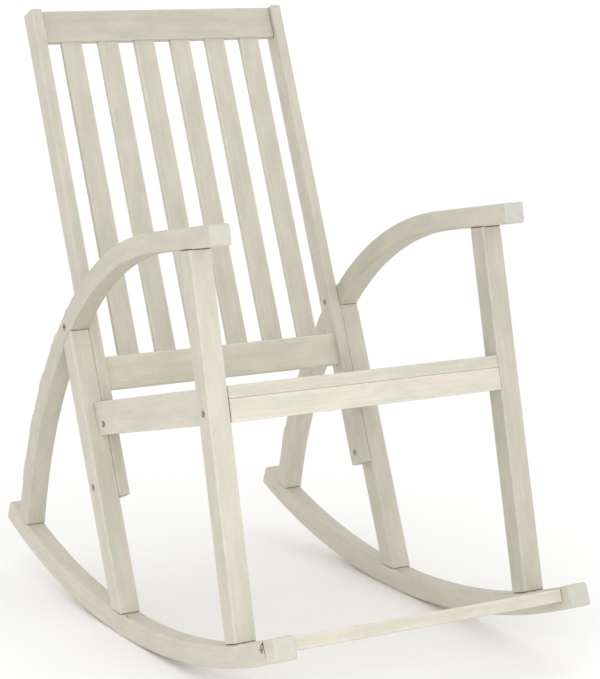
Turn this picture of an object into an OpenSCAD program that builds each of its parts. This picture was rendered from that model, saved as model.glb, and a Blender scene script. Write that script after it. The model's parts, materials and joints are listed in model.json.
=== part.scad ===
// Slatted timber rocking chair.
// The floor is Z = 0, the chair faces -Y, and X = 0 is its middle plane.
// Y = 0 is half way along the rockers. The empty chair stands still as it is drawn.

/* [Overall] */
// Width over the outer faces of the two side frames
chair_w = 545; // [450:1:680]
// Width of every side frame member across the chair
frame_t = 35; // [30:1:45]
// Depth of the front posts and rear legs from front to back
post_d = 35; // [30:1:45]

/* [Rockers] */
// Radius of the underside of the rockers
rocker_r = 1234; // [1020:1:1600]
// Depth of a rocker from its top to its underside
rocker_d = 35; // [30:1:45]
// Reach of the rockers in front of the floor contact
front_reach = 499; // [440:1:600]
// Reach of the rockers behind the floor contact
rear_reach = 450; // [430:1:600]

/* [Seat] */
// Height of the seat's front edge above the floor
seat_h = 454.1; // [400:0.1:540]
// Distance of the seat's front edge in front of the floor contact
seat_fwd = 289.8; // [240:0.1:330]
// Fall of the seat towards the back, in degrees
seat_slope = 13.9; // [8:0.1:18]
// Depth of the seat from its front edge to the face of the back
seat_depth = 432; // [380:1:520]
// Number of seat slats
seat_slats = 8; // [5:1:10]
// Gap between two seat slats
seat_gap = 10; // [5:1:18]
// Gap between the last seat slat and the face of the back
seat_back_gap = 4; // [2:1:12]
// Thickness of the seat slats
seat_slat_t = 19; // [15:1:25]
// Height of the front apron and of the rear seat rail
apron_h = 35; // [30:1:50]
// Depth of the front apron from front to back
apron_d = 35; // [28:1:45]
// Depth of the rear seat rail from front to back
rear_rail_d = 35; // [28:1:45]
// Gap between the rear seat rail and the stiles of the back
rear_rail_gap = 3; // [1:1:10]
// Thickness of the side rails
side_rail_t = 16; // [14:1:24]
// Height and width of the cleats under the ends of the seat slats
cleat = 20; // [16:1:26]
// Width of the middle support under the seat slats
support_w = 22; // [18:1:35]
// Height of the middle support
support_h = 30; // [22:1:35]

/* [Back] */
// Angle between the seat and the back, in degrees
back_angle = 99; // [92:0.5:110]
// Length of the back above the seat
back_h = 667; // [520:1:800]
// Length of the stiles below the seat
stile_drop = 155; // [120:1:190]
// Width of the stiles across the chair
stile_w = 19; // [17:1:28]
// Depth of the stiles from front to back
stile_d = 35; // [30:1:45]
// Height of the top and bottom rails
back_rail_h = 54; // [40:1:80]
// Thickness of the top and bottom rails
back_rail_t = 16; // [14:1:24]
// Height of the bottom rail above the seat
back_rail_lift = 19.5; // [10:0.5:60]
// Distance of the top rail below the tops of the stiles
top_rail_drop = 1.5; // [0:0.5:20]
// Number of back slats
back_slats = 6; // [4:1:8]
// Width of a back slat
back_slat_w = 36.5; // [24:0.5:45]
// Thickness of a back slat
back_slat_t = 10; // [8:1:12]
// Length of a back slat that runs into each rail
slat_tenon = 12; // [8:1:20]

/* [Arms] */
// Height of the underside of the arms above the seat, along the face of the posts
arm_h = 200; // [160:1:250]
// Thickness of an arm
arm_t = 32; // [26:1:40]
// Fall of the straight front run of an arm towards the back, in degrees
arm_slope = 10.4; // [2:0.1:16]
// Length of an arm in front of the post
arm_overhang = 64; // [30:1:90]
// Length of the straight run behind the face of the post
arm_run = 130; // [80:1:200]
// Radius of the shoulder bend, at the underside
shoulder_r = 511; // [400:1:640]
// Turn of the shoulder bend, in degrees
shoulder_turn = 33.3; // [24:0.1:42]
// Radius of the rear bend, at the underside
rear_bend_r = 739; // [600:1:950]

/* [Foot bar] */
// Depth of the foot bar from front to back
bar_d = 35; // [28:1:50]
// Thickness of the foot bar
bar_t = 19; // [15:1:24]
// Distance of the foot bar behind the front ends of the rockers
bar_setback = 22; // [12:1:60]
// Distance of the foot bar below the top of the rockers
bar_sink = 3; // [0:0.5:8]

/* [Fastenings] */
// Diameter of the bolts
bolt_d = 6; // [5:1:8]
// Diameter of the bolt heads and cap nuts
head_d = 10; // [9:1:15]
// Thickness of a bolt head
head_t = 3; // [2:0.5:4]
// Width across the flats of the hexagon socket
socket_af = 4; // [3:0.5:6]
// Depth of the hexagon socket
socket_depth = 2; // [1:0.5:3]
// Depth that a bolt head is sunk below the wood
head_sink = 0.8; // [0.5:0.1:3]
// Depth that a bolt runs into the end of a cross member
bolt_bite = 42; // [30:1:55]
// Diameter of the cross nuts
cross_nut_d = 10; // [10:1:14]
// Length of the cross nuts
cross_nut_l = 14; // [12:1:16]
// Depth of a cross nut's axis behind the end of its cross member
cross_nut_in = 30; // [20:1:40]
// Diameter of the dowels in the side frames
big_dowel_d = 10; // [8:1:12]
// Length of the dowels in the side frames
big_dowel_l = 40; // [30:1:50]
// Diameter of the dowels in the seat and the back
small_dowel_d = 8; // [6:1:8]
// Length of the dowels in the seat and the back
small_dowel_l = 30; // [24:1:40]
// Diameter of the wood screws
screw_d = 4; // [3:0.5:5]
// Diameter of the wood screw heads
screw_head_d = 8; // [6:0.5:10]
// Clearance around slats, dowels and bolts in their seats
fit = 0.1; // [0.05:0.05:0.4]
// Clearance at the ends of the seat slats
slat_end_gap = 0.5; // [0.2:0.1:2]

/* [Hidden] */
SIDES = ["left", "right"];

$fn = 48;
CURVE = 720;          // facets of the large arcs
far = 2000;           // longer than any member
wood = [0.80, 0.77, 0.70];
wood_dark = [0.72, 0.69, 0.62];
steel = [0.36, 0.34, 0.32];
beech = [0.78, 0.66, 0.48];

half_w = chair_w / 2;
inner = half_w - frame_t;                     // inner face of a side frame
back_inner = inner - stile_w;                 // inner face of a stile
lean = back_angle - 90;                       // lean of the back against the seat's upright
back_lean = seat_slope + lean;                // lean of the back against the vertical
side_rail_h = seat_slat_t + apron_h;
rocker_top_r = rocker_r - rocker_d;
hole = 2 * fit;

// Middle of the rockers' circle, straight above the floor contact
contact_y = (front_reach - rear_reach) / 2;
rocker_c = [contact_y, rocker_r];

// A point given along and above the seat, as [y, z] in the side view
function on_seat(u, v) = [
    contact_y - seat_fwd + u * cos(seat_slope) + v * sin(seat_slope),
    seat_h - u * sin(seat_slope) + v * cos(seat_slope)
];
// A point given behind and along the face of the back, as [y, z]
function on_back(u, v) = on_seat(
    seat_depth + u * cos(lean) + v * sin(lean),
    -u * sin(lean) + v * cos(lean)
);
// Distance along the direction d from p to the circle around c, the far crossing
function to_circle(p, d, c, r) =
    let (q = p - c, b = q * d) -b + sqrt(b * b - q * q + r * r);
function dir(a) = [sin(a), cos(a)];

// Arm: a straight run, a shoulder bend and a rear bend. Where one runs into the next their
// curves cross at a very slight angle, so that the three pieces join in one solid.
crossing = 0.6;
lap = 8;                                      // turn that a bend runs on past the next one's start
rear_turn_max = 60;                           // more than the rear bend turns before the rocker
arm_start = on_seat(0, arm_h);
shoulder_rise = shoulder_r * (1 - cos(crossing));
bend_offset = sqrt(shoulder_r * shoulder_r + rear_bend_r * rear_bend_r
    - 2 * shoulder_r * rear_bend_r * cos(crossing));
turn_1 = arm_slope + shoulder_turn;
shoulder_c = arm_start + arm_run * [cos(arm_slope), -sin(arm_slope)]
    - (shoulder_r - shoulder_rise) * dir(arm_slope);
rear_bend_c = shoulder_c - bend_offset * dir(turn_1);

// Heights along the back's line where it meets the arm's middle and the rocker
back_mid = on_back(post_d / 2, 0);
back_dir = dir(back_lean);
arm_mid_v = to_circle(back_mid, back_dir, rear_bend_c, rear_bend_r + arm_t / 2);
arm_under_v = to_circle(back_mid, back_dir, rear_bend_c, rear_bend_r);
low_bolt_up = 21;                             // low bolt above the foot of the stile
low_bolt_v = low_bolt_up - stile_drop;
leg_foot_v = -to_circle(back_mid, -back_dir, rocker_c, rocker_top_r);
post_mid = on_seat(post_d / 2, 0);
post_foot_v = -to_circle(post_mid, -dir(seat_slope), rocker_c, rocker_top_r);

// Foot bar: its front face stands at this angle in front of the floor contact
front_turn = asin(front_reach / rocker_r);
rear_turn = asin(rear_reach / rocker_r);
bar_turn = front_turn - bar_setback / rocker_top_r * 180 / PI;
bar_mid = [bar_d / 2, -(rocker_top_r + bar_sink + bar_t / 2)];

// Seat slats: equal widths over the clear depth of the seat
slat_run = seat_depth - seat_slat_t * tan(lean) - seat_back_gap;
seat_slat_w = (slat_run - (seat_slats - 1) * seat_gap) / seat_slats;
seat_pitch = seat_slat_w + seat_gap;
rear_rail_u = seat_depth - side_rail_h * tan(lean) - rear_rail_gap - rear_rail_d;
rail_mid_v = -seat_slat_t - apron_h / 2;

// Back: the rails and slats stand in the middle of the stiles' depth
back_rail_u = (stile_d - back_rail_t) / 2;
back_slat_u = (stile_d - back_slat_t) / 2;
bottom_rail_top = back_rail_lift + back_rail_h;
top_rail_foot = back_h - top_rail_drop - back_rail_h;
back_gap = (2 * back_inner - back_slats * back_slat_w) / (back_slats + 1);

// Fastenings
over = 1;                                     // reach of a cut past a face
bolt_play = 0.5;
bolt_hole = bolt_d + bolt_play;
sinking_d = head_d + over;
sinking = head_t + head_sink;
cap_wall = 1;                                 // wall of a cap nut's sleeve
cap_d = bolt_d + 2 * cap_wall;
cap_l = 12;                                   // length of a cap nut's sleeve
cap_socket = 1.5;                             // depth of a cap nut's socket
dowel_end_gap = 0.5;
rail_dowel_shares = [0.25, 0.82];             // of the side rail's height, clear of the bolt
back_dowel_share = 0.27;                      // of a back rail's height, from its middle
leg_dowel_u = 0.8 * post_d;                   // dowel in the top of a rear leg
leg_dowel_drop = 5;
thin_bite = 12;                               // run of a dowel into a thin stile
screw_cover = 5;                              // wood left beyond a screw's tip
rail_screw_share = 0.8;                       // of the half width between the frames
rear_screw_share = 0.65;                      // of the rear seat rail's depth

// Moves what is drawn to the seat's axes: Y along the seat, Z square to it
module at_seat() {
    translate([0, contact_y - seat_fwd, seat_h]) rotate([-seat_slope, 0, 0]) children();
}

// Moves what is drawn to the back's axes: Z up along its face, Y behind it
module at_back() {
    at_seat() translate([0, seat_depth, 0]) rotate([-lean, 0, 0]) children();
}

// Moves what is drawn to the foot bar's axes, around the rockers' centre
module at_bar() {
    translate([0, contact_y, rocker_r]) rotate([-bar_turn, 0, 0]) children();
}

// Repeats a piece on the left (-1) or the right (1) side
module on_side(s) {
    mirror([s > 0 ? 1 : 0, 0, 0]) children();
}

// Extrudes a side view drawn as [y, z] from x0 over a width
module side_view(x0, w) {
    translate([x0, 0, 0]) rotate([90, 0, 90]) linear_extrude(w) children();
}

module side_frame() {
    side_view(-half_w, frame_t) children();
}

module seat_view() {
    translate([contact_y - seat_fwd, seat_h]) rotate(-seat_slope) children();
}

module back_view() {
    seat_view() translate([seat_depth, 0]) rotate(-lean) children();
}

module disc(c, r) {
    translate(c) circle(r = r, $fn = CURVE);
}

// Slice of a disc between two turns from the vertical
module sector(r, a0, a1) {
    intersection() {
        circle(r = r, $fn = CURVE);
        polygon(concat([[0, 0]], [for (k = [0 : 4]) far * dir(a0 + (a1 - a0) * k / 4)]));
    }
}

// Everything up to a height h above the underside of an arm, in the side view
module under_arm(h) {
    translate(arm_start) rotate(-arm_slope) translate([-arm_overhang, -shoulder_r])
        square([arm_overhang + arm_run, shoulder_r + h]);
    translate(shoulder_c) sector(shoulder_r + h, arm_slope - lap, turn_1 + lap);
    translate(rear_bend_c) sector(rear_bend_r + h, turn_1, turn_1 + rear_turn_max);
}

module inside_rocker() {
    disc(rocker_c, rocker_top_r);
}

// Round bar along X, from x over a length
module bar_x(x, d, l) {
    translate([x, 0, 0]) rotate([0, 90, 0]) cylinder(d = d, h = l);
}

// Round bar along Y, from y over a length
module bar_y(y, d, l) {
    translate([0, y, 0]) rotate([-90, 0, 0]) cylinder(d = d, h = l);
}

// Round bar along Z, centred, and reaching a given clearance past its ends
module dowel_z(d, l, past = 0) {
    translate([0, 0, -l / 2 - past]) cylinder(d = d, h = l + 2 * past);
}

// Places of the side frame's big dowels on the left side: post and leg in the rocker,
// post in the arm, arm in the rocker
arm_foot_turn = asin((rocker_foot_y() - rear_bend_c[0]) / (rear_bend_r + arm_t / 2));
function rocker_foot_y() = let (
    r1 = rear_bend_r + arm_t / 2, r2 = rocker_top_r,
    dv = rocker_c - rear_bend_c, dd = norm(dv),
    a = (r1 * r1 - r2 * r2 + dd * dd) / (2 * dd),
    h = sqrt(r1 * r1 - a * a)
) rear_bend_c[0] + a * dv[0] / dd + h * dv[1] / dd;

module at_arm_foot() {
    translate([0, rear_bend_c[0], rear_bend_c[1]]) rotate([-arm_foot_turn, 0, 0])
        translate([0, 0, rear_bend_r + arm_t / 2]) rotate([-90, 0, 0]) children();
}

module big_dowel_places() {
    x = -half_w + frame_t / 2;
    at_seat() translate([x, post_d / 2, post_foot_v]) children();
    at_seat() translate([x, post_d / 2, arm_h]) children();
    at_back() translate([x, post_d / 2, leg_foot_v]) children();
    translate([x, 0, 0]) at_arm_foot() children();
}

// Places of the small dowels on the left side, each along Z
module rail_dowel_places() {
    x = -inner - side_rail_t / 2;
    for (k = rail_dowel_shares) {
        v = -k * side_rail_h;
        at_seat() translate([x, post_d, v]) rotate([-90, 0, 0]) children();
        at_seat() translate([x, seat_depth + v * tan(lean), v]) rotate([-90, 0, 0]) children();
    }
}

module back_dowel_places() {
    for (v = [back_rail_lift + back_rail_h / 2, top_rail_foot + back_rail_h / 2])
        for (k = [-1, 1])
            at_back() translate([-back_inner, stile_d / 2, v + k * back_rail_h * back_dowel_share])
                rotate([0, 90, 0]) children();
}

module leg_top_dowel_place() {
    at_back() translate([-half_w + frame_t / 2, leg_dowel_u, arm_under_v - leg_dowel_drop])
        children();
}

rail_dowel_shift = small_dowel_l / 2 - thin_bite;
module small_dowel_places() {
    rail_dowel_places() children();
    back_dowel_places() translate([0, 0, rail_dowel_shift]) children();
    leg_top_dowel_place() children();
}

module big_dowel_holes() {
    big_dowel_places() dowel_z(big_dowel_d + hole, big_dowel_l, dowel_end_gap);
}

module small_dowel_holes() {
    small_dowel_places() dowel_z(small_dowel_d + hole, small_dowel_l, dowel_end_gap);
}

// Axes of the through bolts that hold the back, along X from the outer face
module back_bolt_places() {
    for (v = [arm_mid_v, low_bolt_v])
        at_back() translate([-half_w, post_d / 2, v]) children();
}

module back_bolt_holes() {
    back_bolt_places() {
        bar_x(-over, bolt_hole, frame_t + stile_w + 2 * over);
        bar_x(-over, sinking_d, over + sinking);
        bar_x(frame_t + stile_w - sinking, sinking_d, sinking + over);
        bar_x(frame_t + stile_w - sinking - cap_l, cap_d + hole, cap_l + over);
    }
}

// Axes of the bolts into the apron and the foot bar, along X from the outer face
module frame_bolt_places() {
    at_seat() translate([-half_w, apron_d / 2, rail_mid_v]) children();
    at_bar() translate([-half_w, bar_mid[0], bar_mid[1]]) children();
}

module rear_bolt_place() {
    at_seat() translate([-inner - side_rail_t, rear_rail_u + rear_rail_d / 2, rail_mid_v])
        children();
}

// Hole for a sunk bolt through a wall and into the cross member behind it
module bolt_hole_in(wall) {
    bar_x(-over, sinking_d, over + sinking);
    bar_x(0, bolt_hole, wall + bolt_bite + over);
}

module frame_bolt_holes() {
    frame_bolt_places() bolt_hole_in(frame_t);
}

module rear_bolt_hole() {
    rear_bolt_place() bolt_hole_in(side_rail_t);
}

// Axes of the cross nuts: along Y in the apron and the rear rail, along Z in the bar
module apron_nut_place() {
    at_seat() translate([-inner + cross_nut_in, apron_d, rail_mid_v])
        rotate([90, 0, 0]) children();
}

module rear_nut_place() {
    at_seat() translate([-inner + cross_nut_in, rear_rail_u, rail_mid_v])
        rotate([-90, 0, 0]) children();
}

module bar_nut_place() {
    at_bar() translate([-inner + cross_nut_in, bar_mid[0], bar_mid[1] - bar_t / 2]) children();
}

// Depth of a cross nut's hole in a member of depth d: the nut is centred on the bolt
function nut_depth(d) = (d + cross_nut_l) / 2;
module nut_hole(d) {
    translate([0, 0, -over]) cylinder(d = cross_nut_d + hole, h = nut_depth(d) + over);
}

module cross_nut_holes() {
    apron_nut_place() nut_hole(apron_d);
    rear_nut_place() nut_hole(rear_rail_d);
    bar_nut_place() nut_hole(bar_t);
}

// Screws: up through the cleats and the support, up through the rails, and sideways
screw_bite = seat_slat_t - screw_cover;
module screw(length) {
    cylinder(d1 = screw_head_d, d2 = screw_d, h = screw_head_d - screw_d);
    cylinder(d = screw_d, h = length);
}

module screw_hole(length) {
    translate([0, 0, -over]) cylinder(d = screw_head_d + hole, h = over);
    cylinder(d1 = screw_head_d + hole, d2 = screw_d + hole, h = screw_head_d - screw_d);
    cylinder(d = screw_d + hole, h = length + dowel_end_gap);
}

function slat_mid(i) = (i - 1) * seat_pitch + seat_slat_w / 2;
module cleat_slat_screws(length_past) {
    for (i = [2 : seat_slats - 1])
        at_seat() translate([-inner + cleat / 2, slat_mid(i), -seat_slat_t - cleat]) children();
}

module support_slat_screws() {
    for (i = [2 : seat_slats - 1])
        at_seat() translate([0, slat_mid(i), -seat_slat_t - support_h]) children();
}

module rail_screw_places() {
    for (k = [-1, 0, 1]) {
        x = k * inner * rail_screw_share;
        at_seat() translate([x, apron_d / 2, -side_rail_h]) children();
        at_seat() translate([x, rear_rail_u + rear_rail_d * rear_screw_share, -side_rail_h])
            children();
    }
}

cleat_l = rear_rail_u - apron_d;
cleat_screw_l = cleat + side_rail_t - screw_cover;
module cleat_screw_places() {
    for (i = [2 : 2 : seat_slats - 1])
        at_seat()
            translate([-inner + cleat, slat_mid(i) + seat_pitch / 2, -seat_slat_t - cleat / 2])
                rotate([0, -90, 0]) children();
}

module both_sides() {
    for (s = [-1, 1])
        on_side(s) children();
}

module rocker(s) {
    color(wood) on_side(s) difference() {
        side_frame() intersection() {
            difference() {
                disc(rocker_c, rocker_r);
                disc(rocker_c, rocker_top_r);
            }
            translate(rocker_c) polygon([
                [0, 0],
                -far * dir(front_turn),
                [0, -far],
                -far * dir(-rear_turn)
            ]);
        }
        big_dowel_holes();
        frame_bolt_holes();
    }
}

module arm(s) {
    color(wood) on_side(s) difference() {
        side_frame() intersection() {
            difference() {
                under_arm(arm_t);
                under_arm(0);
            }
            inside_rocker();
        }
        big_dowel_holes();
        leg_top_dowel_place() dowel_z(small_dowel_d + hole, small_dowel_l, dowel_end_gap);
        back_bolt_holes();
    }
}

module front_post(s) {
    color(wood) on_side(s) difference() {
        side_frame() difference() {
            intersection() {
                seat_view() translate([0, -far]) square([post_d, far + arm_h + post_d]);
                inside_rocker();
            }
            translate(arm_start) rotate(-arm_slope) translate([-far, 0]) square(2 * far);
        }
        big_dowel_holes();
        rail_dowel_places() dowel_z(small_dowel_d + hole, small_dowel_l, dowel_end_gap);
        frame_bolt_holes();
    }
}

module rear_leg(s) {
    color(wood) on_side(s) difference() {
        side_frame() intersection() {
            back_view() translate([0, -far]) square([post_d, far + arm_mid_v + arm_t]);
            inside_rocker();
            under_arm(0);
        }
        big_dowel_holes();
        rail_dowel_places() dowel_z(small_dowel_d + hole, small_dowel_l, dowel_end_gap);
        leg_top_dowel_place() dowel_z(small_dowel_d + hole, small_dowel_l, dowel_end_gap);
        back_bolt_holes();
    }
}

module side_rail(s) {
    color(wood) on_side(s) difference() {
        side_view(-inner - side_rail_t, side_rail_t) difference() {
            seat_view() translate([post_d, -side_rail_h]) square([seat_depth, side_rail_h]);
            back_view() translate([0, -far]) square([far, 2 * far]);
        }
        rail_dowel_places() dowel_z(small_dowel_d + hole, small_dowel_l, dowel_end_gap);
        rear_bolt_hole();
        cleat_screw_places() screw_hole(cleat_screw_l);
    }
}

module cross_member(u, d) {
    at_seat() translate([-inner, u, -side_rail_h]) cube([2 * inner, d, apron_h]);
}

module front_apron() {
    color(wood) difference() {
        cross_member(0, apron_d);
        both_sides() frame_bolt_holes();
        both_sides() cross_nut_holes();
        rail_screw_places() screw_hole(apron_h + screw_bite);
    }
}

module rear_seat_rail() {
    color(wood) difference() {
        cross_member(rear_rail_u, rear_rail_d);
        both_sides() rear_bolt_hole();
        both_sides() cross_nut_holes();
        rail_screw_places() screw_hole(apron_h + screw_bite);
    }
}

module seat_support() {
    color(wood_dark) difference() {
        at_seat() translate([-support_w / 2, apron_d, -seat_slat_t - support_h])
            cube([support_w, cleat_l, support_h]);
        support_slat_screws() screw_hole(support_h + screw_bite);
    }
}

module seat_cleat(s) {
    color(wood_dark) on_side(s) difference() {
        at_seat() translate([-inner, apron_d, -seat_slat_t - cleat])
            cube([cleat, cleat_l, cleat]);
        cleat_slat_screws() screw_hole(cleat + screw_bite);
        cleat_screw_places() screw_hole(cleat_screw_l);
    }
}

module seat_slat(i) {
    color(wood) difference() {
        at_seat() translate([-inner + slat_end_gap, (i - 1) * seat_pitch, -seat_slat_t])
            cube([2 * (inner - slat_end_gap), seat_slat_w, seat_slat_t]);
        both_sides() cleat_slat_screws() screw_hole(cleat + screw_bite);
        support_slat_screws() screw_hole(support_h + screw_bite);
        rail_screw_places() screw_hole(apron_h + screw_bite);
    }
}

module back_stile(s) {
    color(wood) on_side(s) difference() {
        at_back() translate([-inner, 0, -stile_drop]) cube([stile_w, stile_d, stile_drop + back_h]);
        back_dowel_places() translate([0, 0, rail_dowel_shift])
            dowel_z(small_dowel_d + hole, small_dowel_l, dowel_end_gap);
        back_bolt_holes();
    }
}

function back_slat_x(i) = -back_inner + i * back_gap + (i - 1) * back_slat_w;
module back_slat_body(i, grow) {
    at_back()
        translate([back_slat_x(i) - grow, back_slat_u - grow, bottom_rail_top - slat_tenon - grow])
            cube([back_slat_w + 2 * grow, back_slat_t + 2 * grow,
                  top_rail_foot - bottom_rail_top + 2 * (slat_tenon + grow)]);
}

module back_rail(v) {
    color(wood) difference() {
        at_back() translate([-back_inner, back_rail_u, v])
            cube([2 * back_inner, back_rail_t, back_rail_h]);
        for (i = [1 : back_slats])
            back_slat_body(i, fit);
        both_sides() back_dowel_places() translate([0, 0, rail_dowel_shift])
            dowel_z(small_dowel_d + hole, small_dowel_l, dowel_end_gap);
    }
}

module back_slat(i) {
    color(wood) back_slat_body(i, 0);
}

module foot_bar() {
    color(wood) difference() {
        at_bar() translate([-inner, 0, bar_mid[1] - bar_t / 2]) cube([2 * inner, bar_d, bar_t]);
        both_sides() frame_bolt_holes();
        both_sides() cross_nut_holes();
    }
}

// Bolt along X: a sunk round head with a hexagon socket, and a plain shank
module bolt(reach) {
    difference() {
        union() {
            bar_x(head_sink, head_d, head_t);
            bar_x(head_sink, bolt_d, reach - head_sink);
        }
        translate([head_sink - over, 0, 0]) rotate([0, 90, 0])
            cylinder(d = socket_af / cos(30), h = over + socket_depth, $fn = 6);
    }
}

module back_bolts() {
    color(steel) both_sides() back_bolt_places() bolt(frame_t + stile_w - sinking - over);
}

module cap_nut() {
    x1 = frame_t + stile_w - head_sink;
    difference() {
        union() {
            bar_x(x1 - head_t, head_d, head_t);
            bar_x(x1 - head_t - cap_l + over, cap_d, cap_l + head_t - over);
        }
        bar_x(x1 - head_t - cap_l, bolt_d + hole, cap_l);
        translate([x1 - cap_socket, 0, 0]) rotate([0, 90, 0])
            cylinder(d = socket_af / cos(30), h = cap_socket + over, $fn = 6);
    }
}

module back_cap_nuts() {
    color(steel) both_sides() back_bolt_places() cap_nut();
}

module frame_bolts() {
    color(steel) both_sides() frame_bolt_places() bolt(frame_t + bolt_bite);
}

module rear_rail_bolts() {
    color(steel) both_sides() rear_bolt_place() bolt(side_rail_t + bolt_bite);
}

// Cross nut along Z in a member of depth d: a short round bar with the bolt's hole across it
module cross_nut(d) {
    difference() {
        translate([0, 0, nut_depth(d) - cross_nut_l]) cylinder(d = cross_nut_d, h = cross_nut_l);
        translate([0, 0, d / 2]) rotate([0, 90, 0])
            cylinder(d = bolt_d + hole, h = 2 * cross_nut_d, center = true);
    }
}

module cross_nuts() {
    color(steel) both_sides() {
        apron_nut_place() cross_nut(apron_d);
        rear_nut_place() cross_nut(rear_rail_d);
        bar_nut_place() cross_nut(bar_t);
    }
}

module big_dowels() {
    color(beech) both_sides() big_dowel_places() dowel_z(big_dowel_d, big_dowel_l);
}

module small_dowels() {
    color(beech) both_sides() small_dowel_places() dowel_z(small_dowel_d, small_dowel_l);
}

module slat_screws() {
    color(steel) {
        both_sides() cleat_slat_screws() screw(cleat + screw_bite);
        support_slat_screws() screw(support_h + screw_bite);
    }
}

module rail_screws() {
    color(steel) rail_screw_places() screw(apron_h + screw_bite);
}

module cleat_screws() {
    color(steel) both_sides() cleat_screw_places() screw(cleat_screw_l);
}

for (k = [0, 1]) {
    rocker(k);
    arm(k);
    front_post(k);
    rear_leg(k);
    side_rail(k);
    seat_cleat(k);
    back_stile(k);
}
front_apron();
rear_seat_rail();
seat_support();
for (i = [1 : seat_slats])
    seat_slat(i);
back_rail(top_rail_foot);  // back_top_rail
back_rail(back_rail_lift);  // back_bottom_rail
for (i = [1 : back_slats])
    back_slat(i);
foot_bar();
back_bolts();
back_cap_nuts();
frame_bolts();
rear_rail_bolts();
cross_nuts();
big_dowels();
small_dowels();
slat_screws();
rail_screws();
cleat_screws();
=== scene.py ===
# Slatted rocking chair in whitewashed timber, with dark sunk bolts.
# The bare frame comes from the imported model. Every visible timber member is a copy of its own
# frame solid with the arrises eased, and carries its own lengthwise coordinates for the grain.
import json
import math

import bpy
import numpy as np
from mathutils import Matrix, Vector


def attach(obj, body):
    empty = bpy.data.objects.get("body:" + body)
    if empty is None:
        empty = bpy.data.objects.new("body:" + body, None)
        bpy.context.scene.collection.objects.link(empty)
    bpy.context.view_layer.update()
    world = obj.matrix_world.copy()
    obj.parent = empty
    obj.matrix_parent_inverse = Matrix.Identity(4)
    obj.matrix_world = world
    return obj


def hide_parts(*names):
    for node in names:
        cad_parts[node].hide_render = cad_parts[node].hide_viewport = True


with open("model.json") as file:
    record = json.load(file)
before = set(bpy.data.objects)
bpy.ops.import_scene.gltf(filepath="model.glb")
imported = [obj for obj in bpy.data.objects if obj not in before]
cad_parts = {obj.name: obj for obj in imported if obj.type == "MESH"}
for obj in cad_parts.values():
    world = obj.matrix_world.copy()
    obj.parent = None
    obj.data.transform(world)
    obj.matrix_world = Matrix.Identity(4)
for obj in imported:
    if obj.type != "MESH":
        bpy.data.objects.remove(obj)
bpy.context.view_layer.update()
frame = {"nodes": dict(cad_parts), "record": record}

SIDES = ("left", "right")

# How the faces and edges of a member are told apart.
ON_FACE = 0.0003          # a corner this near to a face counts as on it, in metres
LONG_EDGE = 0.97          # an edge runs with the grain above this share of its length
END_FACE = 0.6            # a face cuts the grain above this share
SQUARE_END = 0.93         # a face is the flat end itself, and not its bevel, above this share
LONG_FACE = 0.35          # a face runs with the grain below this share
BEVEL_FACE = 0.3          # a face between this share and SQUARE_END is a bevel round a joint
SHORTEST_END_EDGE = 0.008
SHARP = math.radians(25)
SMOOTH = math.radians(40)
SAME_PLANE = math.radians(0.3)
SAME_POINT = 0.00002
HOLE_CLEARANCE = 0.002    # a cross cut this near to a bolt hole's rim is left out
ARRIS_SEGMENTS = 4
BOARD_STEP = 0.37         # sets each board's grain apart from the last one's

# ---------------------------------------------------------------- camera

camera_data = bpy.data.cameras.new("chair_camera")
camera_data.sensor_fit = "HORIZONTAL"
camera_data.sensor_width = 36.0
camera_data.lens = 133.46
camera_data.clip_end = 50.0
camera = bpy.data.objects.new("chair_camera", camera_data)
camera.location = (-1.7345, -3.0161, 1.1207)
camera.rotation_euler = (math.radians(79.1772), math.radians(-0.3542), math.radians(-30.3921))
bpy.context.scene.collection.objects.link(camera)
bpy.context.scene.camera = camera
bpy.context.scene.view_settings.view_transform = "Standard"


# ---------------------------------------------------------------- helpers for pieces

def only_this(piece):
    """Leaves one object selected and active."""
    bpy.ops.object.select_all(action="DESELECT")
    piece.select_set(True)
    bpy.context.view_layer.objects.active = piece


def points_of(mesh):
    """Every vertex of a mesh as rows of x, y, z."""
    flat = np.empty(len(mesh.vertices) * 3)
    mesh.vertices.foreach_get("co", flat)
    return flat.reshape(-1, 3)


def unit(v):
    """A vector's direction, at length 1."""
    return v / np.linalg.norm(v)


def straight_lie(mesh):
    """Axes of a straight member: along its longest edge, then across the chair or its face."""
    points = points_of(mesh)
    ends = np.array([e.vertices[:] for e in mesh.edges])
    runs = points[ends[:, 1]] - points[ends[:, 0]]
    along = unit(runs[np.argmax(np.linalg.norm(runs, axis=1))])
    if abs(along[0]) > 0.9:
        flat = runs[np.abs(runs @ along) < 1e-5]
        across = unit(flat[np.argmax(np.linalg.norm(flat, axis=1))])
    else:
        across = np.array([1.0, 0.0, 0.0])
    through = np.cross(along, across)
    axes = np.array([along, across, through])

    def lie(p):
        local = p @ axes.T
        return local - middle

    local = points @ axes.T
    middle = (local.max(axis=0) + local.min(axis=0)) / 2
    return lie


ROCKER_RADIUS = 1.234
ROCKER_DEPTH = 0.035
END_CLEAR = 0.014


def lowest_y(points):
    """Where a rocker's underside touches the floor, from the circle through its underside."""
    rim = points[points[:, 2] < points[:, 2].min() + 0.004]
    fit = np.linalg.lstsq(np.stack([2 * rim[:, 1], np.ones(len(rim))], axis=1),
                          rim[:, 1] ** 2 + (rim[:, 2] - ROCKER_RADIUS) ** 2, rcond=None)[0]
    return fit[0]


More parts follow.
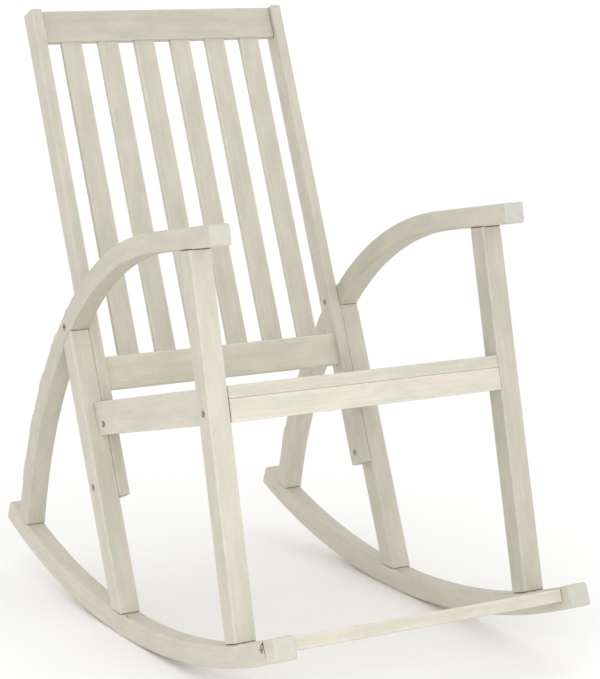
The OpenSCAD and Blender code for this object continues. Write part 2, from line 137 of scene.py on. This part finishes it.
def rocker_lie(mesh):
    """Along a rocker's arc, across the chair, and out from its middle line."""
    points = points_of(mesh)
    centre_y = lowest_y(points)
    middle_x = (points[:, 0].max() + points[:, 0].min()) / 2
    middle_r = ROCKER_RADIUS - ROCKER_DEPTH / 2

    def lie(p):
        dy, dz = p[:, 1] - centre_y, ROCKER_RADIUS - p[:, 2]
        return np.stack([np.arctan2(dy, dz) * middle_r, p[:, 0] - middle_x,
                         np.hypot(dy, dz) - middle_r], axis=1)

    return lie


ARM_THICKNESS = 0.032
ARM_SLOPE = math.radians(10.4)
ARM_STRAIGHT = 0.194
ARM_BENDS = ((0.527, math.radians(33.3)), (0.755, math.radians(55.0)))


def arm_line(mesh):
    """Points along the middle line of an arm, from its front end, with their lengths."""
    points = points_of(mesh)
    y = points[:, 1].min() + ARM_THICKNESS / 2 * math.sin(ARM_SLOPE)
    z = points[:, 2].max() - ARM_THICKNESS / 2 * math.cos(ARM_SLOPE)
    heading = ARM_SLOPE
    steps = [(ARM_STRAIGHT / 40, 0.0)] * 40
    for radius, turn in ARM_BENDS:
        steps += [(radius * turn / 120, turn / 120)] * 120
    line = [(y, z)]
    for length, turn in steps:
        heading += turn / 2
        y += length * math.cos(heading)
        z -= length * math.sin(heading)
        heading += turn / 2
        line.append((y, z))
    line = np.array(line)
    lengths = np.concatenate([[0], np.cumsum(np.linalg.norm(np.diff(line, axis=0), axis=1))])
    return line, lengths


def arm_lie(mesh):
    """Along an arm's middle line, across the chair, and up from the middle line."""
    line, lengths = arm_line(mesh)
    points = points_of(mesh)
    middle_x = (points[:, 0].max() + points[:, 0].min()) / 2
    a, b = line[:-1], line[1:]
    run = b - a
    run_length = np.linalg.norm(run, axis=1)

    def lie(p):
        q = p[:, None, 1:] - a[None]
        t = np.clip((q * run[None]).sum(axis=2) / (run_length ** 2)[None], 0, 1)
        gap = np.linalg.norm(q - t[..., None] * run[None], axis=2)
        k = gap.argmin(axis=1)
        rows = np.arange(len(p))
        side = np.sign(run[k, 0] * q[rows, k, 1] - run[k, 1] * q[rows, k, 0])
        along = lengths[k] + t[rows, k] * run_length[k]
        return np.stack([along, p[:, 0] - middle_x, side * gap[rows, k]], axis=1)

    return lie


def cross_cut(piece, lie, cuts):
    """Cuts edges across a bent member, clear of the bolt holes, so that its sides follow the bend."""
    points = lie(points_of(piece.data))
    half = np.abs(points).max(axis=0)
    in_side = np.abs(np.abs(points[:, 1]) - half[1]) < ON_FACE
    holes = points[in_side & (np.abs(points[:, 2]) < half[2] - 0.001), 0]
    only_this(piece)
    bpy.ops.object.mode_set(mode="EDIT")
    for (y, z), (ny, nz) in cuts:
        here = lie(np.array([[0.0, y, z]]))[0, 0]
        if len(holes) and np.abs(holes - here).min() < HOLE_CLEARANCE:
            continue
        bpy.ops.mesh.select_all(action="SELECT")
        bpy.ops.mesh.bisect(plane_co=(0.0, y, z), plane_no=(0.0, ny, nz), threshold=0.00001)
    bpy.ops.mesh.select_all(action="SELECT")
    bpy.ops.mesh.remove_doubles(threshold=ON_FACE)
    bpy.ops.object.mode_set(mode="OBJECT")


def clear_ends(piece, lie):
    """Takes out the facet corners just short of a rocker's ends, so that the ends can be rounded."""
    mesh = piece.data
    points = lie(points_of(mesh))
    along = points[:, 0]
    gap = np.minimum(along - along.min(), along.max() - along)
    on_arris = (np.abs(np.abs(points[:, 1]) - np.abs(points[:, 1]).max()) < ON_FACE) & (
        np.abs(np.abs(points[:, 2]) - ROCKER_DEPTH / 2) < ON_FACE)
    only_this(piece)
    bpy.ops.object.mode_set(mode="EDIT")
    bpy.ops.mesh.select_mode(type="VERT")
    bpy.ops.mesh.select_all(action="DESELECT")
    bpy.ops.object.mode_set(mode="OBJECT")
    for i in np.nonzero((gap > 0.0001) & (gap < END_CLEAR) & on_arris)[0]:
        mesh.vertices[i].select = True
    bpy.ops.object.mode_set(mode="EDIT")
    bpy.ops.mesh.dissolve_verts()
    bpy.ops.object.mode_set(mode="OBJECT")


def rocker_cuts(mesh):
    """Places on a rocker's middle line, a short step apart, with the direction of the line."""
    points = points_of(mesh)
    centre_y = lowest_y(points)
    turns = np.arctan2(points[:, 1] - centre_y, ROCKER_RADIUS - points[:, 2])
    middle_r = ROCKER_RADIUS - ROCKER_DEPTH / 2
    return [((centre_y + middle_r * math.sin(a), ROCKER_RADIUS - middle_r * math.cos(a)),
             (math.cos(a), math.sin(a)))
            for a in np.linspace(turns.min(), turns.max(), 62)[2:-2]]


def arm_cuts(mesh):
    """Places on an arm's middle line, a short step apart, with the direction of the line."""
    line, lengths = arm_line(mesh)
    return [((line[k][0], line[k][1]), tuple(unit(line[k + 1] - line[k - 1])))
            for k in range(30, len(line) - 1, 5)]


def ease(piece, lie, arris, end_arris, joined):
    """Bevels the edges of joined ends by end_arris, then rounds all other arrises by arris."""
    mesh = piece.data
    for width, at_joint in ((end_arris, True), (arris, False)):
        points = lie(points_of(mesh))
        half = np.abs(points).max(axis=0)
        middle = (points[:, 0].max() + points[:, 0].min()) / 2
        only_this(piece)
        bpy.ops.object.mode_set(mode="EDIT")
        bpy.ops.mesh.select_mode(type="EDGE")
        bpy.ops.mesh.select_all(action="DESELECT")
        bpy.ops.object.mode_set(mode="OBJECT")
        faces_on = {}
        for face in mesh.polygons:
            for key in face.edge_keys:
                faces_on.setdefault(key, []).append(face)
        ends = np.array([e.vertices[:] for e in mesh.edges])
        rim = np.abs(np.abs(points) - half) < ON_FACE
        run = points[ends[:, 1]] - points[ends[:, 0]]
        length = np.linalg.norm(run, axis=1)
        slant = np.abs(run[:, 0]) / np.maximum(length, 1e-9)
        for i, edge in enumerate(mesh.edges):
            on = faces_on.get(tuple(sorted(edge.vertices)), [])
            if len(on) != 2 or on[0].normal.angle(on[1].normal, 0.0) < SHARP:
                continue
            both = rim[ends[i, 0]] & rim[ends[i, 1]]
            if slant[i] > LONG_EDGE and both[1] and both[2]:
                edge.select = not at_joint
            elif (both[1] or both[2]) and length[i] > SHORTEST_END_EDGE:
                shares = [end_share(f, piece, lie) for f in on]
                here = joined[int(points[ends[i, 0], 0] > middle)]
                cuts_off = max(shares) > END_FACE and min(shares) < LONG_FACE
                edge.select = bool(cuts_off and here == at_joint)
        bpy.ops.object.mode_set(mode="EDIT")
        bpy.ops.mesh.bevel(offset=width, offset_type="OFFSET",
                           segments=1 if at_joint else ARRIS_SEGMENTS,
                           profile=0.5, affect="EDGES", clamp_overlap=at_joint)
        bpy.ops.object.mode_set(mode="OBJECT")


def end_share(face, piece, lie):
    """How squarely a face cuts the grain: 1 on an end cut, 0 on a long face."""
    centre = np.array(face.center)
    normal = np.array(face.normal)
    probe = np.array([centre, centre - normal * 0.0005])
    moved = lie(probe)
    step = moved[1] - moved[0]
    return abs(step[0]) / max(np.linalg.norm(step), 1e-9)


def merged_copy(node, name):
    """A copy of a frame solid's mesh with its loose triangles joined into plain faces."""
    piece = bpy.data.objects.new(name, frame["nodes"][node].data.copy())
    bpy.context.scene.collection.objects.link(piece)
    piece.data.materials.clear()
    only_this(piece)
    bpy.ops.object.mode_set(mode="EDIT")
    bpy.ops.mesh.select_all(action="SELECT")
    bpy.ops.mesh.remove_doubles(threshold=SAME_POINT)
    bpy.ops.mesh.dissolve_limited(angle_limit=SAME_PLANE)
    bpy.ops.object.mode_set(mode="OBJECT")
    return piece


boards_made = 0

# How pale a board is beside its neighbours, where it isn't middling: partly sawn timber's own variation,
# partly painted light and shade, lighter on members that should look lit and darker on members that should
# look shaded.
BOARD_TONES_AND_LIGHT = {
    "front_apron": 1.09, "back_bottom_rail": 1.15, "side_rail_left": 1.07, "foot_bar": 1.05,
    "rear_leg_left": 1.03, "rocker_left": 1.05, "back_top_rail": 0.94, "arm_left": 0.97,
    "front_post_right": 0.89,
}


def timber(node, arris=0.0022, end_arris=0.0012, lie_of=straight_lie, cuts_of=None,
           joined=(True, True)):
    """A timber member: its frame solid with eased arrises, in washed wood, replacing the node."""
    global boards_made
    boards_made += 1
    piece = merged_copy(node, "timber_" + node)
    mesh = piece.data
    lie = lie_of(mesh)
    if lie_of is rocker_lie:
        clear_ends(piece, lie)
    if cuts_of:
        cross_cut(piece, lie, cuts_of(mesh))
    ease(piece, lie, arris, end_arris, joined)
    only_this(piece)
    bpy.ops.object.shade_smooth_by_angle(angle=SMOOTH)
    normals = piece.modifiers.new("even_faces", "WEIGHTED_NORMAL")
    normals.keep_sharp = True
    bpy.ops.object.modifier_apply(modifier=normals.name)
    grain = mesh.attributes.new("timber", "FLOAT_VECTOR", "POINT")
    local = lie(points_of(mesh))
    grain.data.foreach_set("vector", local.ravel())
    half = np.abs(local).max(axis=0)
    section = mesh.attributes.new("section", "FLOAT_VECTOR", "POINT")
    section.data.foreach_set("vector", np.tile(half, len(local)))
    board = mesh.attributes.new("board", "FLOAT", "POINT")
    board.data.foreach_set("value", np.full(len(local), boards_made * BOARD_STEP))
    # Each member's tone goes onto its points: partly the board's own paleness, partly painted light and
    # shade.
    tone_and_light = mesh.attributes.new("tone_and_light", "FLOAT", "POINT")
    tone_and_light.data.foreach_set("value", np.full(len(local), BOARD_TONES_AND_LIGHT.get(node, 1.0)))
    mesh.materials.append(washed_wood)
    mesh.materials.append(washed_end_grain)
    mesh.materials.append(joint_shade_and_grime)
    middle = (local[:, 0].max() + local[:, 0].min()) / 2
    for face in mesh.polygons:
        share = end_share(face, piece, lie)
        at_joint = joined[int(local[face.vertices[0], 0] > middle)]
        # Bevel faces round a joint take the dark joint colour: grime and painted shade in the groove.
        if at_joint and BEVEL_FACE < share < SQUARE_END:
            face.material_index = 2
        else:
            face.material_index = int(share > (SQUARE_END if at_joint else END_FACE))
    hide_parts(node)
    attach(piece, "root")
    return piece


# ---------------------------------------------------------------- shader helpers

def socket(tree, kind, name, where, default=None):
    """Gives a node group an input or an output."""
    made = tree.interface.new_socket(name=name, in_out=where, socket_type=kind)
    if default is not None:
        made.default_value = default
    return made


def math_node(nodes, links, operation, a, b=None, c=None, clamp=False):
    """A Math node fed by sockets or plain numbers; returns its output."""
    node = nodes.new("ShaderNodeMath")
    node.operation = operation
    node.use_clamp = clamp
    for i, value in enumerate((a, b, c)):
        if value is None:
            continue
        if isinstance(value, (int, float)):
            node.inputs[i].default_value = value
        else:
            links.new(value, node.inputs[i])
    return node.outputs[0]


def stretched(nodes, links, vector, scale, offset=None):
    """A vector multiplied by a scale on each axis, then moved by an offset socket."""
    node = nodes.new("ShaderNodeVectorMath")
    node.operation = "MULTIPLY"
    links.new(vector, node.inputs[0])
    node.inputs[1].default_value = scale
    if offset is None:
        return node.outputs[0]
    add = nodes.new("ShaderNodeVectorMath")
    add.operation = "ADD"
    links.new(node.outputs[0], add.inputs[0])
    links.new(offset, add.inputs[1])
    return add.outputs[0]


def noise(nodes, links, vector, scale, detail, roughness=0.55):
    """Cloudy values around 0.5 over a vector."""
    node = nodes.new("ShaderNodeTexNoise")
    node.inputs["Scale"].default_value = scale
    node.inputs["Detail"].default_value = detail
    node.inputs["Roughness"].default_value = roughness
    links.new(vector, node.inputs["Vector"])
    return node.outputs["Fac"]


def spread(nodes, links, value, low, high):
    """Stretches low..high of a value to 0..1, with soft ends."""
    node = nodes.new("ShaderNodeMapRange")
    node.interpolation_type = "SMOOTHSTEP"
    node.inputs["From Min"].default_value = low
    node.inputs["From Max"].default_value = high
    links.new(value, node.inputs["Value"])
    return node.outputs["Result"]


def mixed(nodes, links, factor, a, b, blend="MIX"):
    """Mixes two colours, each a socket or a plain colour."""
    node = nodes.new("ShaderNodeMix")
    node.data_type = "RGBA"
    node.blend_type = blend
    for value, name in ((factor, 0), (a, 6), (b, 7)):
        if isinstance(value, (int, float)):
            node.inputs[name].default_value = value
        elif isinstance(value, tuple):
            node.inputs[name].default_value = value + (1.0,)
        else:
            links.new(value, node.inputs[name])
    return node.outputs[2]


def tinted(nodes, links, colour, mask, amount, tint):
    """Lays a tint over a colour, as strongly as a mask times an amount says."""
    return mixed(nodes, links, math_node(nodes, links, "MULTIPLY", mask, amount), colour, tint)


def new_group(name):
    """An empty node group with its input and output nodes."""
    tree = bpy.data.node_groups.new(name, "ShaderNodeTree")
    return tree, tree.nodes.new("NodeGroupInput"), tree.nodes.new("NodeGroupOutput")


def srgb(r, g, b):
    """A colour given as 0-255 display values, as linear light."""
    return tuple(((v / 255 + 0.055) / 1.055) ** 2.4 if v > 10 else v / 255 / 12.92 for v in (r, g, b))


# ---------------------------------------------------------------- effects that materials share

def build_timber_figure():
    """Grain of a sawn board: broad patches, streaks, growth lines, fine pores and a height."""
    tree, given, out = new_group("timber_figure")
    socket(tree, "NodeSocketVector", "Timber", "INPUT")
    socket(tree, "NodeSocketFloat", "Board", "INPUT", 0.0)
    for name in ("Patch", "Streak", "Growth", "Pore", "Height"):
        socket(tree, "NodeSocketFloat", name, "OUTPUT")
    nodes, links = tree.nodes, tree.links
    shift = nodes.new("ShaderNodeCombineXYZ")
    for axis, step in enumerate((7.31, 3.17, 5.93)):
        links.new(math_node(nodes, links, "MULTIPLY", given.outputs["Board"], step), shift.inputs[axis])
    at = given.outputs["Timber"]
    patch = noise(nodes, links, stretched(nodes, links, at, (13, 38, 38), shift.outputs[0]), 1.0, 4.0)
    streak = noise(nodes, links, stretched(nodes, links, at, (5, 210, 210), shift.outputs[0]), 1.0, 5.0, 0.6)
    wander = noise(nodes, links, stretched(nodes, links, at, (3.2, 22, 22), shift.outputs[0]), 1.0, 2.0)
    apart = nodes.new("ShaderNodeSeparateXYZ")
    links.new(at, apart.inputs[0])
    ring = math_node(nodes, links, "MULTIPLY_ADD", apart.outputs[1], 620.0,
                     math_node(nodes, links, "MULTIPLY", apart.outputs[2], 340.0))
    ring = math_node(nodes, links, "ADD", ring, math_node(nodes, links, "MULTIPLY", wander, 46.0))
    ring = math_node(nodes, links, "ADD", ring, given.outputs["Board"])
    growth = math_node(nodes, links, "MULTIPLY_ADD", math_node(nodes, links, "SINE", ring), 0.5, 0.5)
    growth = math_node(nodes, links, "POWER", growth, 2.2)
    pore = noise(nodes, links, stretched(nodes, links, at, (70, 1500, 1500), shift.outputs[0]), 1.0, 2.0)
    pore = spread(nodes, links, pore, 0.56, 0.74)
    links.new(spread(nodes, links, patch, 0.32, 0.68), out.inputs["Patch"])
    links.new(spread(nodes, links, streak, 0.42, 0.72), out.inputs["Streak"])
    links.new(growth, out.inputs["Growth"])
    links.new(pore, out.inputs["Pore"])
    height = math_node(nodes, links, "MULTIPLY", growth, 0.35)
    height = math_node(nodes, links, "SUBTRACT", height, math_node(nodes, links, "MULTIPLY", pore, 0.8))
    height = math_node(nodes, links, "ADD", height, math_node(nodes, links, "MULTIPLY", streak, 0.9))
    links.new(height, out.inputs["Height"])
    return tree


def build_arris_wear_and_highlight():
    """Mask of the strip along a member's long arrises, with a ragged border: partly rubbed wash, partly a
    painted highlight where light catches the eased edge.
    """
    tree, given, out = new_group("arris_wear_and_highlight")
    socket(tree, "NodeSocketVector", "Timber", "INPUT")
    socket(tree, "NodeSocketVector", "Section", "INPUT")
    socket(tree, "NodeSocketFloat", "Reach", "INPUT", 0.003)
    socket(tree, "NodeSocketFloat", "Worn and highlit", "OUTPUT")
    nodes, links = tree.nodes, tree.links
    size = nodes.new("ShaderNodeVectorMath")
    size.operation = "ABSOLUTE"
    links.new(given.outputs["Timber"], size.inputs[0])
    gap = nodes.new("ShaderNodeVectorMath")
    gap.operation = "SUBTRACT"
    links.new(given.outputs["Section"], gap.inputs[0])
    links.new(size.outputs[0], gap.inputs[1])
    apart = nodes.new("ShaderNodeSeparateXYZ")
    links.new(gap.outputs[0], apart.inputs[0])
    near = math_node(nodes, links, "ADD", apart.outputs[1], apart.outputs[2])
    ragged = noise(nodes, links, stretched(nodes, links, given.outputs["Timber"], (55, 160, 160)), 1.0, 3.0)
    reach = math_node(nodes, links, "MULTIPLY", given.outputs["Reach"],
                      math_node(nodes, links, "MULTIPLY_ADD", ragged, 2.4, -0.35))
    worn_and_highlit = math_node(nodes, links, "DIVIDE", near, math_node(nodes, links, "MAXIMUM", reach, 0.0002))
    worn_and_highlit = math_node(nodes, links, "SUBTRACT", 1.0, worn_and_highlit, clamp=True)
    links.new(worn_and_highlit, out.inputs["Worn and highlit"])
    return tree


timber_figure = build_timber_figure()
arris_wear_and_highlight = build_arris_wear_and_highlight()


def new_material(name):
    """A material with its nodes, its links and its main shader."""
    material = bpy.data.materials.new(name)
    material.use_nodes = True
    nodes, links = material.node_tree.nodes, material.node_tree.links
    shader = nodes["Principled BSDF"]
    return material, nodes, links, shader


def attribute(nodes, name, output):
    """A value that each point of a member carries."""
    node = nodes.new("ShaderNodeAttribute")
    node.attribute_name = name
    return node.outputs[output]


def place_group(nodes, tree):
    """Puts a shared effect into a material."""
    node = nodes.new("ShaderNodeGroup")
    node.node_tree = tree
    return node


def bump(nodes, links, height, distance, strength, shader):
    """Lets a height roughen a shader's surface."""
    node = nodes.new("ShaderNodeBump")
    node.inputs["Distance"].default_value = distance
    node.inputs["Strength"].default_value = strength
    links.new(height, node.inputs["Height"])
    links.new(node.outputs["Normal"], shader.inputs["Normal"])


def washed_wood_material():
    """Pale wash over open-grained timber: warm and grey patches, darker streaks, and lighter arrises that
    are partly rubbed and partly a painted highlight.
    """
    material, nodes, links, shader = new_material("washed_wood")
    at = attribute(nodes, "timber", "Vector")
    figure = place_group(nodes, timber_figure)
    links.new(at, figure.inputs["Timber"])
    links.new(attribute(nodes, "board", "Fac"), figure.inputs["Board"])
    wear_and_highlight = place_group(nodes, arris_wear_and_highlight)
    links.new(at, wear_and_highlight.inputs["Timber"])
    links.new(attribute(nodes, "section", "Vector"), wear_and_highlight.inputs["Section"])
    wear_and_highlight.inputs["Reach"].default_value = 0.0042
    colour = mixed(nodes, links, figure.outputs["Patch"], srgb(196, 195, 179), srgb(210, 202, 188))
    colour = tinted(nodes, links, colour, figure.outputs["Streak"], 0.24, srgb(184, 177, 161))
    colour = tinted(nodes, links, colour, figure.outputs["Growth"], 0.07, srgb(182, 172, 154))
    colour = tinted(nodes, links, colour, figure.outputs["Pore"], 0.22, srgb(160, 152, 134))
    # Lighter strip along the long arrises: partly rubbed wash, partly a painted highlight where light
    # catches the eased edge.
    colour = tinted(nodes, links, colour, wear_and_highlight.outputs["Worn and highlit"], 0.5, srgb(226, 220, 204))
    # The member's tone scales the colour: partly the board's own paleness, partly painted light and shade.
    colour = mixed(nodes, links, 1.0, colour, attribute(nodes, "tone_and_light", "Fac"), "MULTIPLY")
    links.new(colour, shader.inputs["Base Color"])
    rough = math_node(nodes, links, "MULTIPLY_ADD", figure.outputs["Patch"], 0.10, 0.50)
    rough = math_node(nodes, links, "MULTIPLY_ADD", figure.outputs["Pore"], 0.15, rough)
    links.new(rough, shader.inputs["Roughness"])
    bump(nodes, links, figure.outputs["Height"], 0.00035, 0.55, shader)
    return material


def end_grain_material():
    """Sawn ends under the wash: cooler and paler, with short arcs of growth rings."""
    material, nodes, links, shader = new_material("washed_end_grain")
    at = attribute(nodes, "timber", "Vector")
    board = attribute(nodes, "board", "Fac")
    apart = nodes.new("ShaderNodeSeparateXYZ")
    links.new(at, apart.inputs[0])
    across = math_node(nodes, links, "ADD", apart.outputs[1], 0.021)
    through = math_node(nodes, links, "ADD", apart.outputs[2], 0.034)
    reach = math_node(nodes, links, "SQRT", math_node(
        nodes, links, "ADD", math_node(nodes, links, "MULTIPLY", across, across),
        math_node(nodes, links, "MULTIPLY", through, through)))
    wobble = noise(nodes, links, stretched(nodes, links, at, (60, 60, 60)), 1.0, 2.0)
    wobble = math_node(nodes, links, "MULTIPLY", wobble, 5.0)
    ring = math_node(nodes, links, "MULTIPLY_ADD", reach, 2600.0, wobble)
    ring = math_node(nodes, links, "ADD", ring, board)
    ring = math_node(nodes, links, "MULTIPLY_ADD", math_node(nodes, links, "SINE", ring), 0.5, 0.5)
    speck = noise(nodes, links, stretched(nodes, links, at, (900, 900, 900)), 1.0, 2.0)
    speck = spread(nodes, links, speck, 0.5, 0.75)
    blotch = noise(nodes, links, stretched(nodes, links, at, (70, 70, 70)), 1.0, 3.0)
    colour = mixed(nodes, links, spread(nodes, links, blotch, 0.35, 0.65),
                   srgb(196, 197, 186), srgb(203, 201, 190))
    colour = tinted(nodes, links, colour, ring, 0.22, srgb(178, 178, 166))
    colour = tinted(nodes, links, colour, speck, 0.28, srgb(166, 162, 148))
    links.new(colour, shader.inputs["Base Color"])
    shader.inputs["Roughness"].default_value = 0.7
    height = math_node(nodes, links, "SUBTRACT", math_node(nodes, links, "MULTIPLY", ring, 0.4), speck)
    bump(nodes, links, height, 0.0003, 0.5, shader)
    return material


def joint_shade_and_grime_material():
    """The open line round a butt joint, where the wash has run off and dust has settled, darkened further as
    painted shade in the groove.
    """
    material, nodes, links, shader = new_material("joint_shade_and_grime")
    at = attribute(nodes, "timber", "Vector")
    patchy = noise(nodes, links, stretched(nodes, links, at, (120, 120, 120)), 1.0, 3.0)
    # Dark browns: dust in the joint, deepened to paint the groove's shade.
    colour = mixed(nodes, links, spread(nodes, links, patchy, 0.35, 0.7),
                   srgb(88, 78, 64), srgb(140, 128, 108))
    links.new(colour, shader.inputs["Base Color"])
    shader.inputs["Roughness"].default_value = 0.8
    bump(nodes, links, patchy, 0.0003, 0.4, shader)
    return material


def dark_steel_material():
    """Dull dark steel with a brown cast, brighter where a key has rubbed it."""
    material, nodes, links, shader = new_material("dark_steel")
    place = nodes.new("ShaderNodeTexCoord").outputs["Object"]
    cloud = noise(nodes, links, stretched(nodes, links, place, (260, 260, 260)), 1.0, 4.0)
    speck = noise(nodes, links, stretched(nodes, links, place, (1400, 1400, 1400)), 1.0, 2.0)
    speck = spread(nodes, links, speck, 0.5, 0.7)
    colour = mixed(nodes, links, cloud, srgb(168, 150, 126), srgb(204, 188, 162))
    colour = tinted(nodes, links, colour, speck, 0.5, srgb(120, 104, 86))
    links.new(colour, shader.inputs["Base Color"])
    shader.inputs["Metallic"].default_value = 0.85
    links.new(math_node(nodes, links, "MULTIPLY_ADD", cloud, 0.3, 0.32), shader.inputs["Roughness"])
    bump(nodes, links, cloud, 0.0002, 0.4, shader)
    return material


def bare_beech_material():
    """Plain turned beech of the dowels, which sit inside the joints."""
    material, nodes, links, shader = new_material("bare_beech")
    place = nodes.new("ShaderNodeTexCoord").outputs["Object"]
    fleck = noise(nodes, links, stretched(nodes, links, place, (400, 400, 400)), 1.0, 3.0)
    colour = mixed(nodes, links, fleck, srgb(196, 158, 112), srgb(222, 188, 146))
    links.new(colour, shader.inputs["Base Color"])
    shader.inputs["Roughness"].default_value = 0.6
    return material


washed_wood = washed_wood_material()
washed_end_grain = end_grain_material()
joint_shade_and_grime = joint_shade_and_grime_material()
dark_steel = dark_steel_material()
bare_beech = bare_beech_material()

# ---------------------------------------------------------------- timber members

for side in SIDES:
    timber("rocker_" + side, lie_of=rocker_lie, cuts_of=rocker_cuts, arris=0.0050,
           joined=(False, False))
    timber("arm_" + side, lie_of=arm_lie, cuts_of=arm_cuts, arris=0.0035, end_arris=0.0015,
           joined=(False, True))
    timber("front_post_" + side, arris=0.003, end_arris=0.0015)
    timber("rear_leg_" + side, arris=0.003, end_arris=0.0015)
    timber("side_rail_" + side)
    timber("seat_cleat_" + side, arris=0.001)
    timber("back_stile_" + side, arris=0.0028, joined=(False, False))
for node in ["rear_seat_rail", "seat_support", "back_top_rail", "back_bottom_rail", "foot_bar"]:
    timber(node)
timber("front_apron", end_arris=0.0006)
for node in sorted(frame["nodes"]):
    if node.startswith("seat_slat_"):
        timber(node, joined=(False, False))
    if node.startswith("back_slat_"):
        timber(node, arris=0.0018)

# ---------------------------------------------------------------- fastenings

FINISHES = {"dark_steel": dark_steel, "bare_beech": bare_beech}
for part in frame["record"]["subparts"]:
    finish = FINISHES.get(part["material_slot"])
    if finish:
        for slot in frame["nodes"][part["node"]].material_slots:
            slot.material = finish

# ---------------------------------------------------------------- studio

FLOOR_SIZE = 14.0
FLOOR_WHITE = 0.97
SKY_STRENGTH = 1.04


def studio_floor():
    """A wide sheet of plain pale paper under the chair."""
    bpy.ops.object.select_all(action="DESELECT")
    bpy.ops.mesh.primitive_plane_add(size=FLOOR_SIZE, location=(0.0, 0.0, 0.0))
    floor = bpy.context.active_object
    floor.name = "studio_floor"
    paper, _, _, shader = new_material("studio_paper")
    shader.inputs["Base Color"].default_value = (FLOOR_WHITE, FLOOR_WHITE, FLOOR_WHITE, 1.0)
    shader.inputs["Roughness"].default_value = 0.9
    floor.data.materials.append(paper)


def studio_sky():
    """Even white light from all round."""
    world = bpy.data.worlds.new("studio_world")
    bpy.context.scene.world = world
    world.use_nodes = True
    sky = world.node_tree.nodes["Background"]
    sky.inputs["Color"].default_value = (1.0, 1.0, 1.0, 1.0)
    sky.inputs["Strength"].default_value = SKY_STRENGTH


def soft_light(name, place, target, size, power, tint):
    """A soft rectangular light, turned towards a point."""
    data = bpy.data.lights.new(name, "AREA")
    data.shape = "RECTANGLE"
    data.size, data.size_y = size
    data.energy = power
    data.color = tint
    light = bpy.data.objects.new(name, data)
    light.location = place
    light.rotation_euler = (Vector(target) - Vector(place)).to_track_quat("-Z", "Y").to_euler()
    bpy.context.scene.collection.objects.link(light)


studio_floor()
studio_sky()
soft_light("key_light", place=(-0.6, -1.5, 0.72), target=(0.0, -0.2, 0.38), size=(0.8, 0.6),
           power=4.8, tint=(1.0, 0.985, 0.96))
